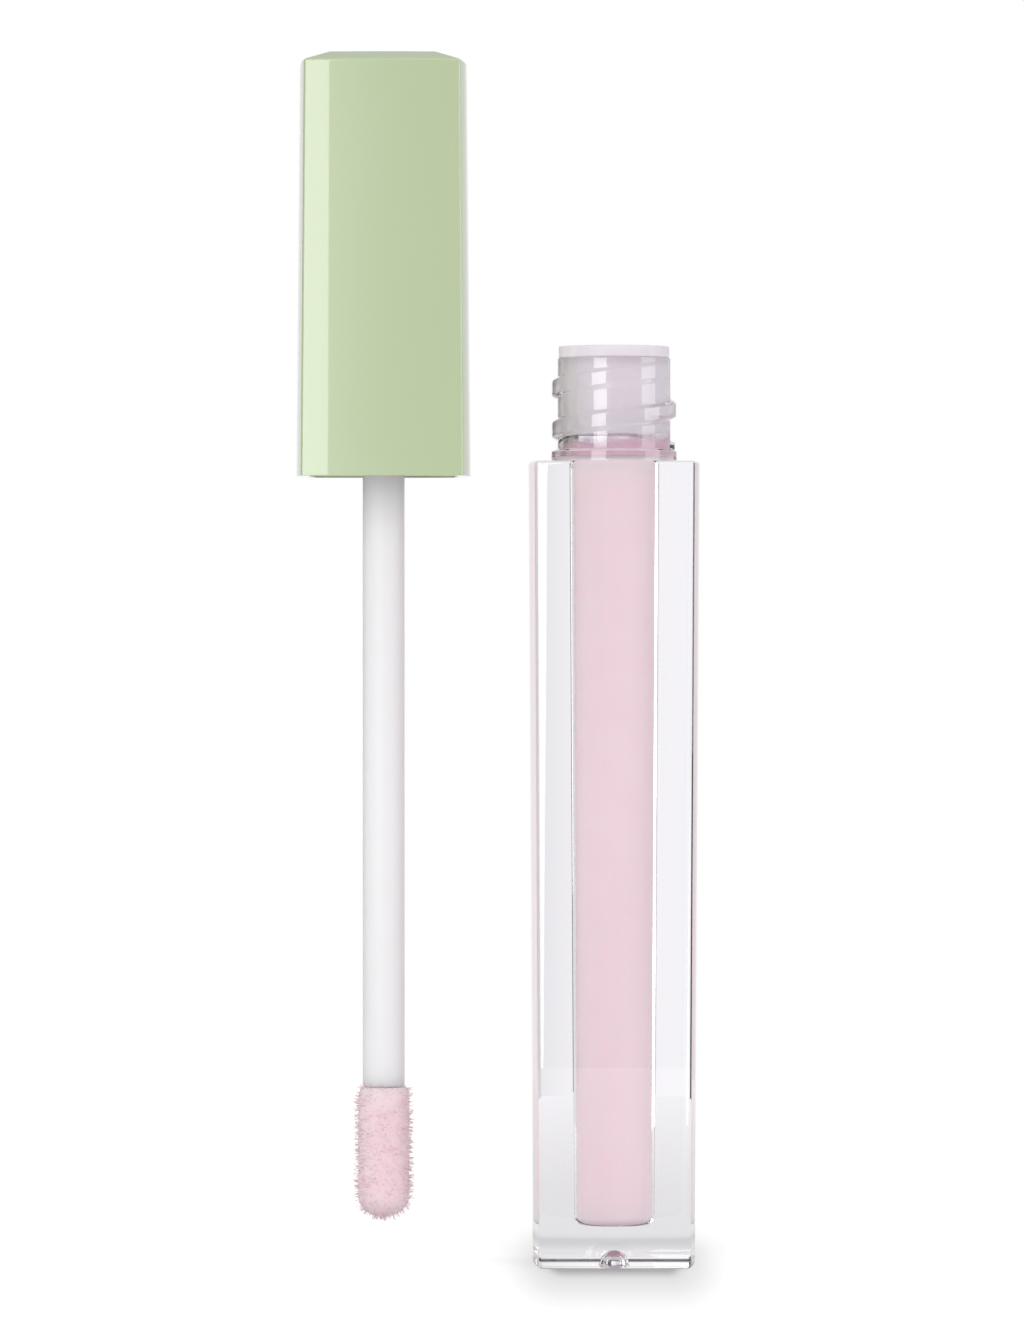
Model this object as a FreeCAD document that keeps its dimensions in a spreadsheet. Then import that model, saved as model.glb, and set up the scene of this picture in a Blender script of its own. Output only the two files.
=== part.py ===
import FreeCAD, Part
import math
import os
import Sketcher

# A lip gloss tube with its cap off: a thick clear square bottle that stands by itself, and
# beside it the square cap with the wand and the flocked tip that dip into the bottle.
# The frame: origin at the middle of the bottle's foot, +Z up, the cap on the -X side.

# Driving dimensions in millimetres, and turns for the threads.
SIZES = (
    # the bottle's body
    ("body_width", 16.14, "across the middle of the sides, at the shoulder"),
    ("body_draft", 0.45, "each side is this much further in at the foot"),
    ("body_height", 75.3, "foot to shoulder"),
    ("side_swell", 44.0, "radius of the sides, which swell a little, on bottle and cap alike"),
    ("body_edge", 0.3, "radius of the four long edges"),
    ("shoulder_edge", 0.25, "radius round the shoulder"),
    ("foot_edge", 0.3, "radius round the foot"),
    ("floor_thick", 3.74, "solid plastic under the gloss"),
    ("bore_draft", 0.4, "each side of the bore is this much further in at its floor"),
    ("bore_corner", 0.8, "radius at the bore's floor"),
    ("gate_width", 2.6, "dimple that the moulding gate leaves under the foot"),
    ("gate_depth", 1.4, "its depth"),
    # the neck and its thread
    ("neck_width", 10.62, "outside of the neck without its thread"),
    ("neck_wall", 1.31, "wall of the neck"),
    ("neck_height", 9.75, "shoulder to the neck's lip"),
    ("collar_height", 1.1, "ring at the root of the neck"),
    ("thread_depth", 0.54, "how far the thread stands out"),
    ("collar_over", 0.05, "collar beyond the thread's crest"),
    ("thread_pitch", 3.9, "rise in one turn"),
    ("thread_turns", 1.95, "turns on the neck"),
    ("thread_root", 1.95, "height of the thread where it leaves the neck"),
    ("thread_crest", 1.2, "height of the thread at its crest"),
    ("thread_start", 1.05, "shoulder to the middle of the thread where it begins"),
    # the wiper pressed into the neck
    ("flange_thick", 1.1, "wiper's flange on the neck's lip"),
    ("flange_inset", 0.11, "flange's edge inside the neck's outside"),
    ("wiper_depth", 7.3, "lip of the neck to the wiper's lower end"),
    ("wiper_wall", 0.6, "wall of the wiper"),
    ("funnel_rise", 1.6, "height of the cone above the orifice"),
    ("orifice_gap", 0.13, "orifice beyond the wand, on each side"),
    ("fill_over", 0.2, "gloss stands this far above the shoulder"),
    # the overcap
    ("cap_height", 39.6, "rim to crown"),
    ("cap_draft", 0.35, "each side is this much further in at the crown"),
    ("cap_edge", 0.28, "radius of the four long edges"),
    ("cap_wall", 1.2, "wall of the overcap"),
    ("cap_roof", 1.8, "thickness under the crown"),
    ("crown_inset", 2.67, "shallow bevel round the crown, inward"),
    ("crown_rise", 0.86, "the same bevel, upward"),
    ("crown_edge", 0.3, "radius where the side turns into the bevel"),
    # the inner cap glued into the overcap
    ("seat_gap", 0.05, "glue gap between inner cap and overcap"),
    ("rim_recess", 0.4, "inner cap stops this far inside the rim"),
    ("rim_gap", 0.3, "rim to shoulder when the cap is on"),
    ("liner_wall", 0.8, "wall of the threaded skirt"),
    ("liner_clear", 0.15, "skirt's clearance round the neck's thread"),
    ("liner_turns", 1.4, "turns inside the skirt"),
    ("liner_root", 1.45, "height of the inner thread at its root"),
    ("liner_crest", 0.7, "height of the inner thread at its crest"),
    ("plate_thick", 1.2, "square plate at the rim, and the skirt's ceiling"),
    ("socket_wall", 1.0, "wall of the socket that holds the wand"),
    ("socket_depth", 11.0, "depth of the socket above the ceiling"),
    ("fin_thick", 1.0, "the four fins on the socket"),
    ("fin_height", 3.0, "height of the fins"),
    # seal, wand and tip
    ("seal_thick", 0.8, "sealing ring under the ceiling"),
    ("running_gap", 0.06, "sealing ring round the wand, on each side"),
    ("wand_width", 3.93, "wand across"),
    ("wand_end", 0.35, "radius at the wand's lower end"),
    ("peg_wall", 0.75, "wall of the wand round the tip's peg"),
    ("peg_length", 6.0, "peg of the tip inside the wand"),
    ("tip_length", 12.9, "flocked tip below the wand"),
    ("core_over", 0.04, "tip's core beyond the wand, on each side"),
    ("flock_thick", 0.45, "coat of fibres on the core"),
    ("flock_shoulder", 0.4, "radius at the coat's upper end"),
    ("tip_round", 2.0, "radius at the coat's lower end"),
    # where the cap stands while it is off
    ("tip_floor_gap", 2.1, "tip to the bore's floor when the cap is on"),
    ("hover", 4.15, "tip above the surface that the bottle stands on"),
    ("side_gap", 5.4, "rim of the cap to the side of the bottle"),
)

# Places worked out from the driving dimensions.
PLACES = (
    ("body_half", "sizes.body_width / 2"),
    ("foot_half", "body_half - sizes.body_draft"),
    ("gate_half", "sizes.gate_width / 2"),
    ("gate_top", "sizes.gate_depth"),
    ("gate_round", "min(gate_half; gate_top) * 0.8"),
    ("shoulder", "sizes.body_height"),
    ("neck_half", "sizes.neck_width / 2"),
    ("neck_bore", "neck_half - sizes.neck_wall"),
    ("neck_lip", "shoulder + sizes.neck_height"),
    ("neck_sunk", "shoulder - sizes.collar_height"),
    ("collar_half", "neck_half + sizes.thread_depth + sizes.collar_over"),
    ("crest_half", "neck_half + sizes.thread_depth"),
    ("collar_top", "shoulder + sizes.collar_height"),
    ("bore_floor", "sizes.floor_thick"),
    ("floor_half", "neck_bore - sizes.bore_draft"),
    ("root_in", "neck_half - sizes.thread_depth / 2"),
    ("thread_low", "shoulder + sizes.thread_start - sizes.thread_root / 2"),
    ("thread_high", "thread_low + sizes.thread_root"),
    ("crest_low", "shoulder + sizes.thread_start - sizes.thread_crest / 2"),
    ("crest_high", "crest_low + sizes.thread_crest"),
    ("fill_top", "shoulder + sizes.fill_over"),
    ("flange_half", "neck_half - sizes.flange_inset"),
    ("flange_top", "neck_lip + sizes.flange_thick"),
    ("wiper_low", "neck_lip - sizes.wiper_depth"),
    ("wiper_in", "neck_bore - sizes.wiper_wall"),
    ("wiper_step", "wiper_low + sizes.wiper_wall"),
    ("funnel_top", "wiper_step + sizes.funnel_rise"),
    ("wand_half", "sizes.wand_width / 2"),
    ("orifice", "wand_half + sizes.orifice_gap"),
    # measured from the rim of the cap
    ("skirt_in", "crest_half + sizes.liner_clear"),
    ("skirt_out", "skirt_in + sizes.liner_wall"),
    ("plate_half", "skirt_out + 2 * sizes.seat_gap + sizes.cap_draft / 8"),
    ("rim_half", "plate_half + sizes.seat_gap + sizes.cap_wall"),
    ("crease_half", "rim_half - sizes.cap_draft"),
    ("crown_half", "crease_half - sizes.crown_inset"),
    ("crown_top", "sizes.cap_height"),
    ("crease", "crown_top - sizes.crown_rise"),
    ("hollow_top", "crease - sizes.cap_roof"),
    ("hollow_rim_half", "rim_half - sizes.cap_wall"),
    ("hollow_top_half", "hollow_rim_half - sizes.cap_draft * hollow_top / crease"),
    ("hollow_edge", "sizes.cap_edge * 1.6"),
    ("body_slope", "(body_half - foot_half) / shoulder"),
    ("cap_slope", "(crease_half - rim_half) / crease"),
    ("crown_slope", "(crown_half - crease_half) / sizes.crown_rise"),
    ("plate_low", "sizes.rim_recess"),
    ("ceiling", "sizes.neck_height + sizes.flange_thick - sizes.rim_gap + sizes.seal_thick"),
    ("ceiling_top", "ceiling + sizes.plate_thick"),
    ("socket_top", "ceiling_top + sizes.socket_depth"),
    ("socket_lid", "socket_top + sizes.socket_wall"),
    ("socket_half", "wand_half + sizes.socket_wall"),
    ("fin_low", "socket_lid - sizes.fin_height"),
    ("fin_reach", "hollow_rim_half - sizes.cap_draft * socket_lid / crease - sizes.seat_gap"),
    ("fin_half", "sizes.fin_thick / 2"),
    ("liner_crest_half", "neck_half + sizes.liner_clear"),
    ("liner_mid", "sizes.thread_start + sizes.thread_pitch / 2 - sizes.rim_gap"),
    ("liner_root_out", "skirt_in + sizes.liner_wall / 3"),
    ("liner_low", "liner_mid - sizes.liner_root / 2"),
    ("liner_high", "liner_mid + sizes.liner_root / 2"),
    ("liner_crest_low", "liner_mid - sizes.liner_crest / 2"),
    ("liner_crest_high", "liner_mid + sizes.liner_crest / 2"),
    ("seal_low", "ceiling - sizes.seal_thick"),
    ("seal_in", "wand_half + sizes.running_gap"),
    # measured from the lower end of the wand and of the tip
    ("reach", "shoulder + sizes.rim_gap - sizes.floor_thick - sizes.tip_floor_gap"),
    ("stem_drop", "reach - sizes.tip_length"),
    ("stem_top", "stem_drop + socket_top"),
    ("peg_half", "wand_half - sizes.peg_wall"),
    ("peg_top", "sizes.peg_length"),
    ("core_half", "wand_half + sizes.core_over"),
    ("core_low", "sizes.flock_thick"),
    ("core_round", "sizes.tip_round - sizes.flock_thick / 2"),
    ("tip_top", "sizes.tip_length"),
    ("peg_end", "sizes.tip_length + sizes.peg_length"),
    ("flock_half", "core_half + sizes.flock_thick"),
    # the cap beside the bottle
    ("rim_height", "sizes.hover + reach"),
    ("stem_foot", "sizes.hover + sizes.tip_length"),
    ("tip_foot", "sizes.hover"),
    ("cap_x", "-(body_half + sizes.side_gap + rim_half)"),
)


def fill_sheets(doc):
    """The driving dimensions as plain numbers, and the places as formulas on them."""
    sizes = doc.addObject("Spreadsheet::Sheet", "sizes")
    for row, (alias, value, note) in enumerate(SIZES, 1):
        sizes.set(f"A{row}", str(value))
        sizes.setAlias(f"A{row}", alias)
        sizes.set(f"B{row}", alias.replace("_", " "))
        sizes.set(f"C{row}", note)
    places = doc.addObject("Spreadsheet::Sheet", "places")
    doc.recompute()
    for row, (alias, formula) in enumerate(PLACES, 1):
        places.set(f"A{row}", "=" + formula)
        places.setAlias(f"A{row}", alias)
        places.set(f"B{row}", alias.replace("_", " "))
    doc.recompute()
    return sizes, places


doc = FreeCAD.newDocument("lip_gloss_tube")
sizes, places = fill_sheets(doc)


def source(name):
    """The sheet that holds a named value."""
    return sizes if sizes.getCellFromAlias(name) else places


def number(name):
    """A named value as a number, with a minus sign in front where the name has one."""
    if name in ("axis", "level"):
        return 0.0
    sign = -1.0 if name.startswith("-") else 1.0
    name = name.lstrip("-")
    return sign * float(source(name).get(name))


def bound(name):
    """The expression that binds a property to a named value."""
    name = name.lstrip("-")
    return f"{source(name).Name}.{name}"


def new_body(label):
    body = doc.addObject("PartDesign::Body", label)
    body.Label = label
    return body


def place(body, height, across=None):
    """Stands a body at a named height, and at a named distance along X."""
    body.setExpression("Placement.Base.z", bound(height))
    if across:
        body.setExpression("Placement.Base.x", bound(across))


def pin(sketch, geometry, corner, title, across, up):
    """Ties one point of a sketch to two named values, or to the axes."""
    for kind, name, axis in (("DistanceX", across, -2), ("DistanceY", up, -1)):
        if name in ("axis", "level"):
            sketch.addConstraint(Sketcher.Constraint("PointOnObject", geometry, corner, axis))
            continue
        ends = (-1, 1, geometry, corner)
        if name.startswith("-"):
            ends = (geometry, corner, -1, 1)
        index = sketch.addConstraint(Sketcher.Constraint(kind, *ends, abs(number(name))))
        sketch.renameConstraint(index, f"{title}_{kind[-1]}")
        sketch.setExpression(f"Constraints.{title}_{kind[-1]}", bound(name))


def outline(body, title, plane, corners, height=None):
    """A closed sketch through named corners (across, up), each with a named radius or none."""
    sketch = body.newObject("Sketcher::SketchObject", title)
    role = next(o for o in body.Origin.OriginFeatures if o.Role == plane)
    sketch.AttachmentSupport = (role, "")
    sketch.MapMode = "FlatFace"
    if height:
        sketch.setExpression("AttachmentOffset.Base.z", bound(height))
    points = [FreeCAD.Vector(number(c[0]), number(c[1]), 0) for c in corners]
    count = len(points)
    starts = list(points)
    ends = list(points)
    arcs = {}
    for index, corner in enumerate(corners):
        if len(corner) == 2:
            continue
        here = points[index]
        back = (points[index - 1] - here).normalize()
        ahead = (points[(index + 1) % count] - here).normalize()
        half = back.getAngle(ahead) / 2
        radius = number(corner[2])
        inward = (back + ahead).normalize()
        ends[index] = here + back * (radius / math.tan(half))
        starts[index] = here + ahead * (radius / math.tan(half))
        crown = here + inward * (radius / math.sin(half) - radius)
        arcs[index] = Part.Arc(ends[index], crown, starts[index])
    for index in range(count):
        sketch.addGeometry(Part.LineSegment(starts[index], ends[(index + 1) % count]))
    for index, corner in enumerate(corners):
        before = (index - 1) % count
        if index not in arcs:
            sketch.addConstraint(Sketcher.Constraint("Coincident", before, 2, index, 1))
            pin(sketch, index, 1, f"p{index}", corner[0], corner[1])
            continue
        arc = sketch.addGeometry(arcs[index])
        near, far = ((sketch.getPoint(arc, side) - ends[index]).Length for side in (1, 2))
        first, last = (1, 2) if near < far else (2, 1)
        sketch.addConstraint(Sketcher.Constraint("Tangent", before, 2, arc, first))
        sketch.addConstraint(Sketcher.Constraint("Tangent", arc, last, index, 1))
        turn = sketch.addConstraint(Sketcher.Constraint("Radius", arc, number(corner[2])))
        sketch.renameConstraint(turn, f"r{index}")
        sketch.setExpression(f"Constraints.r{index}", bound(corner[2]))
        mark = sketch.addGeometry(Part.Point(points[index]), True)
        sketch.addConstraint(Sketcher.Constraint("PointOnObject", mark, 1, before))
        sketch.addConstraint(Sketcher.Constraint("PointOnObject", mark, 1, index))
        pin(sketch, mark, 1, f"p{index}", corner[0], corner[1])
    return sketch


def square(body, title, half, edge, height=None):
    """A rounded square round the body's own axis, lying at a named height."""
    signs = (("", ""), ("-", ""), ("-", "-"), ("", "-"))
    corners = [(across + half, up + half, edge) for across, up in signs]
    return outline(body, title, "XY_Plane", corners, height)


def solid_of(body, kind, title, sketch, **settings):
    """A feature on one sketch, its named sizes bound to the sheets and the rest set plainly."""
    feature = body.newObject("PartDesign::" + kind, title)
    feature.Profile = sketch
    for name, value in settings.items():
        if isinstance(value, str) and value in NAMES:
            feature.setExpression(name, bound(value))
        else:
            setattr(feature, name, value)
    return feature


def turned(body, title, corners, kind="Revolution"):
    """A revolved solid, or a revolved cut, round the body's own vertical axis."""
    sketch = outline(body, title + "_outline", "XZ_Plane", corners)
    return solid_of(body, kind, title, sketch, ReferenceAxis=(sketch, ["V_Axis"]), Angle=360.0)


def swelling(title, half, level, slope):
    """Four large leaning cylinders whose common part is a square bar with swelling sides. It takes
    the half width across the sides at a named level, and how far it grows for each unit upward."""
    walls = []
    away, growth, swell = bound(half), bound(slope), bound("side_swell")
    start = "0" if level == "level" else bound(level)
    stretch = f"sqrt(1 + {growth} * {growth})"
    # The seam of each cylinder lies on its far side; that is why the first one hangs head down.
    for turn, (across, up, over) in enumerate(((1, 0, 1), (0, 1, -1), (-1, 0, -1), (0, -1, -1))):
        wall = doc.addObject("Part::Cylinder", f"{title}_{turn}")
        wall.setExpression("Radius", f"{swell} * {stretch}")
        wall.Height = 2 * LONG
        wall.Placement = FreeCAD.Placement(
            FreeCAD.Vector(0, 0, 0), FreeCAD.Rotation(FreeCAD.Vector(-up, across, 0), 1))
        wall.setExpression("Placement.Rotation.Angle", f"{90 + 90 * over} deg + atan({growth})")
        back = f"({away} - {swell} + {over * LONG} * {growth} / {stretch})"
        wall.setExpression("Placement.Base.x", f"{across} * {back}")
        wall.setExpression("Placement.Base.y", f"{up} * {back}")
        wall.setExpression("Placement.Base.z",
                           f"{start} + {swell} * {growth} + {over * LONG} / {stretch}")
        walls.append(wall)
    return walls


def common(title, top, walls):
    """What the walls have in common from the level up to a named height."""
    slab = doc.addObject("Part::Cylinder", title + "_height")
    slab.Radius = 30
    slab.setExpression("Height", bound(top))
    shared = doc.addObject("Part::MultiCommon", title)
    shared.Shapes = [slab] + walls
    return shared


def rounded(title, base, rounds):
    """Rounds each edge that runs from one named height to another, with a named radius."""
    doc.recompute()
    edges = []
    for index, edge in enumerate(base.Shape.Edges, 1):
        low, high = sorted(vertex.Z for vertex in edge.Vertexes)
        for start, end, radius in rounds:
            if abs(low - number(start)) < 0.01 and abs(high - number(end)) < 0.01:
                edges.append((index, number(radius), number(radius)))
    feature = doc.addObject("Part::Fillet", title)
    feature.Base = base
    feature.Edges = edges
    return feature


def threaded(body, title, corners, turns):
    """A right-hand thread that begins on the +X side and climbs."""
    sketch = outline(body, title + "_outline", "XZ_Plane", corners)
    return solid_of(body, "AdditiveHelix", title, sketch, ReferenceAxis=(sketch, ["V_Axis"]),
                    Mode="pitch-turns-angle", Pitch="thread_pitch", Turns=turns)


NAMES = {row[0] for row in SIZES} | {row[0] for row in PLACES}
LONG = 150  # half the length of the cylinders that the sides are cut from


# The bottle: one thick moulding, its swelling walls leaning out towards the shoulder, with a
# round bore that runs up through the threaded neck.
walls = common("bottle_walls", "shoulder", swelling("wall", "foot_half", "level", "body_slope"))
bottle = new_body("bottle")
bottle.BaseFeature = rounded("bottle_walls_rounded", walls, [
    ("level", "shoulder", "body_edge"),
    ("level", "level", "foot_edge"),
    ("shoulder", "shoulder", "shoulder_edge"),
])
turned(bottle, "neck", [
    ("axis", "neck_sunk"), ("collar_half", "neck_sunk"), ("collar_half", "collar_top"),
    ("neck_half", "collar_top"), ("neck_half", "neck_lip"), ("axis", "neck_lip"),
])
threaded(bottle, "neck_thread", [
    ("root_in", "thread_low"), ("neck_half", "thread_low"), ("crest_half", "crest_low"),
    ("crest_half", "crest_high"), ("neck_half", "thread_high"), ("root_in", "thread_high"),
], "thread_turns")
turned(bottle, "bore", [
    ("axis", "bore_floor"), ("floor_half", "bore_floor", "bore_corner"),
    ("neck_bore", "shoulder"), ("neck_bore", "flange_top"), ("axis", "flange_top"),
], "Groove")
turned(bottle, "gate_dimple", [
    ("axis", "-gate_top"), ("gate_half", "-gate_top"),
    ("gate_half", "gate_top", "gate_round"), ("axis", "gate_top"),
], "Groove")

# The wiper: a soft plug in the neck whose orifice strips the wand.
wiper = new_body("wiper")
turned(wiper, "plug", [
    ("orifice", "wiper_low"), ("neck_bore", "wiper_low"), ("neck_bore", "neck_lip"),
    ("flange_half", "neck_lip"), ("flange_half", "flange_top"), ("wiper_in", "flange_top"),
    ("wiper_in", "funnel_top"), ("orifice", "wiper_step"),
])

# The gloss fills the bore from its floor to just above the shoulder.
gloss = new_body("gloss_fill")
turned(gloss, "column", [
    ("axis", "bore_floor"), ("floor_half", "bore_floor", "bore_corner"),
    ("neck_bore", "shoulder"), ("neck_bore", "fill_top"), ("axis", "fill_top"),
])

# The overcap: a square shell with swelling sides and a shallow hipped crown.
whole = common("cap_block", "crown_top", swelling("cap_side", "rim_half", "level", "cap_slope")
               + swelling("cap_bevel", "crease_half", "crease", "crown_slope"))
overcap = new_body("overcap")
overcap.BaseFeature = rounded("cap_block_rounded", whole, [
    ("level", "crease", "cap_edge"),
    ("crease", "crease", "crown_edge"),
])
hollow = [
    square(overcap, "hollow_rim", "hollow_rim_half", "hollow_edge"),
    square(overcap, "hollow_roof", "hollow_top_half", "hollow_edge", "hollow_top"),
]
solid_of(overcap, "SubtractiveLoft", "hollow", hollow[0], Sections=hollow[1:], Ruled=True)

# The inner cap: a threaded skirt under a ceiling, a square plate that closes the rim, and a
# socket for the wand that four fins hold in the middle of the overcap.
liner = new_body("inner_cap")
turned(liner, "skirt_and_socket", [
    ("axis", "plate_low"), ("skirt_out", "plate_low"), ("skirt_out", "ceiling_top"),
    ("socket_half", "ceiling_top"), ("socket_half", "socket_lid"), ("axis", "socket_lid"),
])
plate = square(liner, "plate_outline", "plate_half", "hollow_edge", "plate_low")
solid_of(liner, "Pad", "plate", plate, Length="plate_thick")
fins = outline(liner, "fins_outline", "XY_Plane", [
    ("fin_reach", "-fin_half"), ("fin_reach", "fin_half"), ("fin_half", "fin_half"),
    ("fin_half", "fin_reach"), ("-fin_half", "fin_reach"), ("-fin_half", "fin_half"),
    ("-fin_reach", "fin_half"), ("-fin_reach", "-fin_half"), ("-fin_half", "-fin_half"),
    ("-fin_half", "-fin_reach"), ("fin_half", "-fin_reach"), ("fin_half", "-fin_half"),
], "fin_low")
solid_of(liner, "Pad", "fins", fins, Length="fin_height")
turned(liner, "bores", [
    ("axis", "level"), ("skirt_in", "level"), ("skirt_in", "ceiling"),
    ("wand_half", "ceiling"), ("wand_half", "socket_top"), ("axis", "socket_top"),
], "Groove")
threaded(liner, "inner_thread", [
    ("liner_root_out", "liner_low"), ("skirt_in", "liner_low"),
    ("liner_crest_half", "liner_crest_low"), ("liner_crest_half", "liner_crest_high"),
    ("skirt_in", "liner_high"), ("liner_root_out", "liner_high"),
], "liner_turns")

# The sealing ring under the ceiling, round the wand.
seal = new_body("seal_ring")
turned(seal, "ring", [
    ("seal_in", "seal_low"), ("flange_half", "seal_low"),
    ("flange_half", "ceiling"), ("seal_in", "ceiling"),
])

# The wand, from its lower end to the top of the socket, bored for the tip's peg.
wand = new_body("wand_stem")
turned(wand, "stem", [
    ("axis", "level"), ("wand_half", "level", "wand_end"),
    ("wand_half", "stem_top"), ("axis", "stem_top"),
])
turned(wand, "peg_bore", [
    ("axis", "level"), ("peg_half", "level"), ("peg_half", "peg_top"), ("axis", "peg_top"),
], "Groove")

# The tip: a soft core on a peg, and the coat of fibres round it.
core = new_body("tip_core")
turned(core, "core_and_peg", [
    ("axis", "core_low"), ("core_half", "core_low", "core_round"), ("core_half", "tip_top"),
    ("peg_half", "tip_top"), ("peg_half", "peg_end"), ("axis", "peg_end"),
])
flock = new_body("flock_coat")
turned(flock, "coat", [
    ("axis", "level"), ("flock_half", "level", "tip_round"),
    ("flock_half", "tip_top", "flock_shoulder"), ("core_half", "tip_top"),
    ("core_half", "core_low", "core_round"), ("axis", "core_low"),
])

# The cap stands beside the bottle, its tip a little above the surface.
for body in (overcap, liner, seal):
    place(body, "rim_height", "cap_x")
place(wand, "stem_foot", "cap_x")
for body in (core, flock):
    place(body, "tip_foot", "cap_x")
doc.recompute()

bodies = (bottle, wiper, gloss, overcap, liner, seal, wand, core, flock)
for thing in doc.Objects:
    if any(state in thing.State for state in ("Invalid", "Error")):
        raise RuntimeError(f"{thing.Name} did not build: {thing.State}")
for body in bodies:
    if body.Shape.isNull() or not body.Shape.isValid() or len(body.Shape.Solids) != 1:
        raise RuntimeError(f"{body.Label} is not one sound solid")

os.makedirs("parts", exist_ok=True)
for body in bodies:
    body.Shape.exportStep(f"parts/{body.Label}.step")
    print(f"{body.Label}: {body.Shape.Volume:.1f} mm3")
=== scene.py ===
import math

import bpy
import numpy as np
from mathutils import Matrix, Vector


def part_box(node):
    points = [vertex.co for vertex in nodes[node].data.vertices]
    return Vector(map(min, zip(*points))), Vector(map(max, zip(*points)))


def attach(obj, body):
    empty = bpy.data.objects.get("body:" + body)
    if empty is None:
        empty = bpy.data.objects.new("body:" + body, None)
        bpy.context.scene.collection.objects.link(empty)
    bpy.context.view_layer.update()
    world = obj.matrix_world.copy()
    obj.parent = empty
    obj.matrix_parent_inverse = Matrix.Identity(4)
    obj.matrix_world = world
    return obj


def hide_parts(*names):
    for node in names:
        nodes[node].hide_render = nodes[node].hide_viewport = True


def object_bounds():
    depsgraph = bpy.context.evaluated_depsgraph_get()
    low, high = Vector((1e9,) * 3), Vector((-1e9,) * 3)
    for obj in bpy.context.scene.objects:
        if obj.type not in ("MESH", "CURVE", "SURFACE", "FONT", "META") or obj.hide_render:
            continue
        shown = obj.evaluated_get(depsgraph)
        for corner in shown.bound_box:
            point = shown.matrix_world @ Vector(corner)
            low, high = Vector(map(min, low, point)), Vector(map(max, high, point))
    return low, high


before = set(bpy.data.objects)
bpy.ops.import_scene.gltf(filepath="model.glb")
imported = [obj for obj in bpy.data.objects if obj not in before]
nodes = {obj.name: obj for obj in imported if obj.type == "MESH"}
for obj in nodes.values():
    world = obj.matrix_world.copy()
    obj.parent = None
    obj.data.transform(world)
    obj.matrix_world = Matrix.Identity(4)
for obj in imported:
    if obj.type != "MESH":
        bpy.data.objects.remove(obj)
cadLow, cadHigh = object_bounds()
scene = bpy.context.scene
scene.view_settings.view_transform = "Standard"
print("frame loaded:", len(nodes), "parts")

mm = 0.001
cornerSteps, sideSteps = 10, 12  # points round half a corner and along a side of a square ring
ringCount = 4 * (2 * cornerSteps + sideSteps)  # every ring has as many, so that all join one to one
ringTurn = np.arange(ringCount) * 2 * math.pi / ringCount - math.pi / 4
sideSwell = 44.0  # radius of the swelled sides of the bottle and the cap
sharp = 0.1  # the smallest corner that a square ring takes


# #rrggbb to linear red, green, blue and full alpha
def linear(hexColour):
    out = []
    for i in (1, 3, 5):
        c = int(hexColour[i:i + 2], 16) / 255
        out.append(c / 12.92 if c <= 0.04045 else ((c + 0.055) / 1.055) ** 2.4)
    return (*out, 1.0)


# one node with its settings, its sockets' values and the sockets that feed it
def addNode(tree, kind, values=None, links=None, **settings):
    made = tree.nodes.new(kind)
    for key, value in settings.items():
        setattr(made, key, value)
    for key, value in (values or {}).items():
        made.inputs[key].default_value = value
    for key, source in (links or {}).items():
        tree.links.new(source, made.inputs[key])
    return made


# an empty material and its output node
def newMaterial(name):
    material = bpy.data.materials.new(name)
    material.use_nodes = True
    tree = material.node_tree
    tree.nodes.clear()
    return material, tree, addNode(tree, "ShaderNodeOutputMaterial")


# a CAD part's centre line, foot and top in millimetres
def stand(node):
    low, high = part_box(node)
    return (low.x + high.x) / 2 / mm, (low.y + high.y) / 2 / mm, low.z / mm, high.z / mm


def sinDeg(angle):
    return math.sin(math.radians(angle))


def cosDeg(angle):
    return math.cos(math.radians(angle))


# a level ring of one radius, or of one radius for each point; it starts at -45 degrees, as the
# square rings do
def roundRing(radius, z):
    return np.stack([radius * np.cos(ringTurn), radius * np.sin(ringTurn), z + 0 * ringTurn], 1)


def roundRings(line):
    return [roundRing(r, z) for r, z in line]


# a level square whose sides swell: half is its half width across the middle of the sides, crown
# the radius of the sides, corner the radius of its corners
def squareRing(half, corner, z, crown=sideSwell):
    back = crown - half
    reach = crown - corner
    k = (math.sqrt(2 * reach ** 2 - back ** 2) - back) / 2  # the corner's centre is at (k, k)
    turn = math.atan2(k, k + back)
    down = np.linspace(-math.pi / 4, -turn, cornerSteps + 1)[:-1]
    up = np.linspace(turn, math.pi / 4, cornerSteps + 1)[:-1]
    along = np.linspace(-turn, turn, sideSteps + 1)[:-1]
    side = np.concatenate([
        np.stack([k + corner * np.cos(down), -k + corner * np.sin(down)], 1),
        np.stack([crown * np.cos(along) - back, crown * np.sin(along)], 1),
        np.stack([k + corner * np.cos(up), k + corner * np.sin(up)], 1)])
    ring = []
    for quarter in range(4):
        c, s = round(math.cos(quarter * math.pi / 2)), round(math.sin(quarter * math.pi / 2))
        ring.append(np.stack([c * side[:, 0] - s * side[:, 1],
                              s * side[:, 0] + c * side[:, 1]], 1))
    ring = np.concatenate(ring)
    return np.column_stack([ring, np.full(len(ring), z)])


def pole(z):
    return np.array([[0.0, 0.0, z]])


# points on an arc in the plane of radius and height, from one angle to another in degrees
def arc(r, z, radius, start, stop, steps):
    return [(r + radius * cosDeg(a), z + radius * sinDeg(a))
            for a in np.linspace(start, stop, steps)]


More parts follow.
